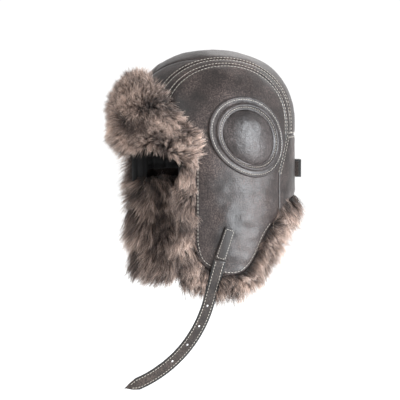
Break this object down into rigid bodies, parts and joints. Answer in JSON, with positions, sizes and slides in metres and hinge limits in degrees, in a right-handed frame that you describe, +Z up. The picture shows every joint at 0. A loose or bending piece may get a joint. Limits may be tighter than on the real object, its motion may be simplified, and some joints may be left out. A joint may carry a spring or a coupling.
{
  "type": "trapper hat",
  "caption": "Leather aviator-style winter hat with fur lining, folding ear flaps, turned-up fur visor, round ear patches and a buckled chin strap.",
  "frame": {"origin": "centre of the head opening, level with the wearer's brow and the tops of the ears", "axes": "+Z up through the crown, the face opening and visor towards -Y, +X the wearer's left"},
  "size_m": [0.1917, 0.2598, 0.3989],
  "materials": {
    "leather": "distressed, fine pebbled grain, soft sheen",
    "strap_leather": "smooth, painted edges",
    "fur": "long soft pile, tan tips over dark roots",
    "lining": "quilted satin",
    "buckle_metal": "antique, slightly worn",
    "black_buckle": "matt black"
  },
  "bodies": {
    "crown": {"side_panel_left": "leather", "side_panel_right": "leather", "crown_band_left": "leather", "crown_band_right": "leather", "top_panel": "leather", "front_yoke": "leather", "nape_yoke": "leather", "crown_lining": "lining", "ear_ring_left": "leather", "ear_ring_right": "leather", "ear_pad_left": "leather", "ear_pad_right": "leather", "temple_fur_left": "fur", "temple_fur_right": "fur", "adjuster_strap": "strap_leather"},
    "visor": {"visor_backing": "leather", "visor_fur": "fur"},
    "ear_flap_left": {"ear_flap_leather_left": "leather", "ear_flap_fur_left": "fur", "chin_strap_anchor": "strap_leather"},
    "chin_strap_top": {"chin_strap_upper": "strap_leather"},
    "chin_strap_end": {"chin_strap_lower": "strap_leather"},
    "ear_flap_right": {"ear_flap_leather_right": "leather", "ear_flap_fur_right": "fur", "buckle_strap": "strap_leather", "keeper_loop": "strap_leather"},
    "buckle_frame": {"buckle_frame": "buckle_metal"},
    "buckle_prong": {"buckle_prong": "buckle_metal"},
    "nape_flap": {"nape_flap_leather": "leather", "nape_flap_fur": "fur"},
    "adjuster_buckle": {"adjuster_buckle": "black_buckle"}
  },
  "joints": [
    {"name": "visor_fold", "type": "hinge", "parent": "crown", "child": "visor", "pos_m": [0, -0.109, 0.0305], "axis": [1, 0, 0], "range_deg": [0, 100]},
    {"name": "ear_flap_left_fold", "type": "hinge", "parent": "crown", "child": "ear_flap_left", "pos_m": [0.0945, 0, -0.014], "axis": [0, -1, 0], "range_deg": [0, 150]},
    {"name": "ear_flap_right_fold", "type": "hinge", "parent": "crown", "child": "ear_flap_right", "pos_m": [-0.0945, 0, -0.014], "axis": [0, 1, 0], "range_deg": [0, 150]},
    {"name": "nape_flap_fold", "type": "hinge", "parent": "crown", "child": "nape_flap", "pos_m": [0, 0.1135, -0.014], "axis": [1, 0, 0], "range_deg": [0, 150]},
    {"name": "chin_strap_top_bend", "type": "hinge", "parent": "ear_flap_left", "child": "chin_strap_top", "pos_m": [0.08533, -0.04023, -0.09948], "axis": [-0.2951, -0.9168, 0.2689], "range_deg": [0, 60]},
    {"name": "chin_strap_end_bend", "type": "hinge", "parent": "chin_strap_top", "child": "chin_strap_end", "pos_m": [0.0763, -0.05653, -0.16236], "axis": [0.2854, 0.8867, -0.3637], "range_deg": [0, 90]},
    {"name": "buckle_frame_swing", "type": "hinge", "parent": "ear_flap_right", "child": "buckle_frame", "pos_m": [-0.091, -0.014, -0.098], "axis": [0, 1, 0], "range_deg": [0, 62]},
    {"name": "buckle_prong_swing", "type": "hinge", "parent": "buckle_frame", "child": "buckle_prong", "pos_m": [-0.091, -0.014, -0.098], "axis": [0, 1, 0], "range_deg": [0, 34]},
    {"name": "adjuster_slide", "type": "hinge", "parent": "crown", "child": "adjuster_buckle", "pos_m": [0, 0.03463, 0.003], "axis": [0, 0, 1], "range_deg": [0, 48]}
  ]
}
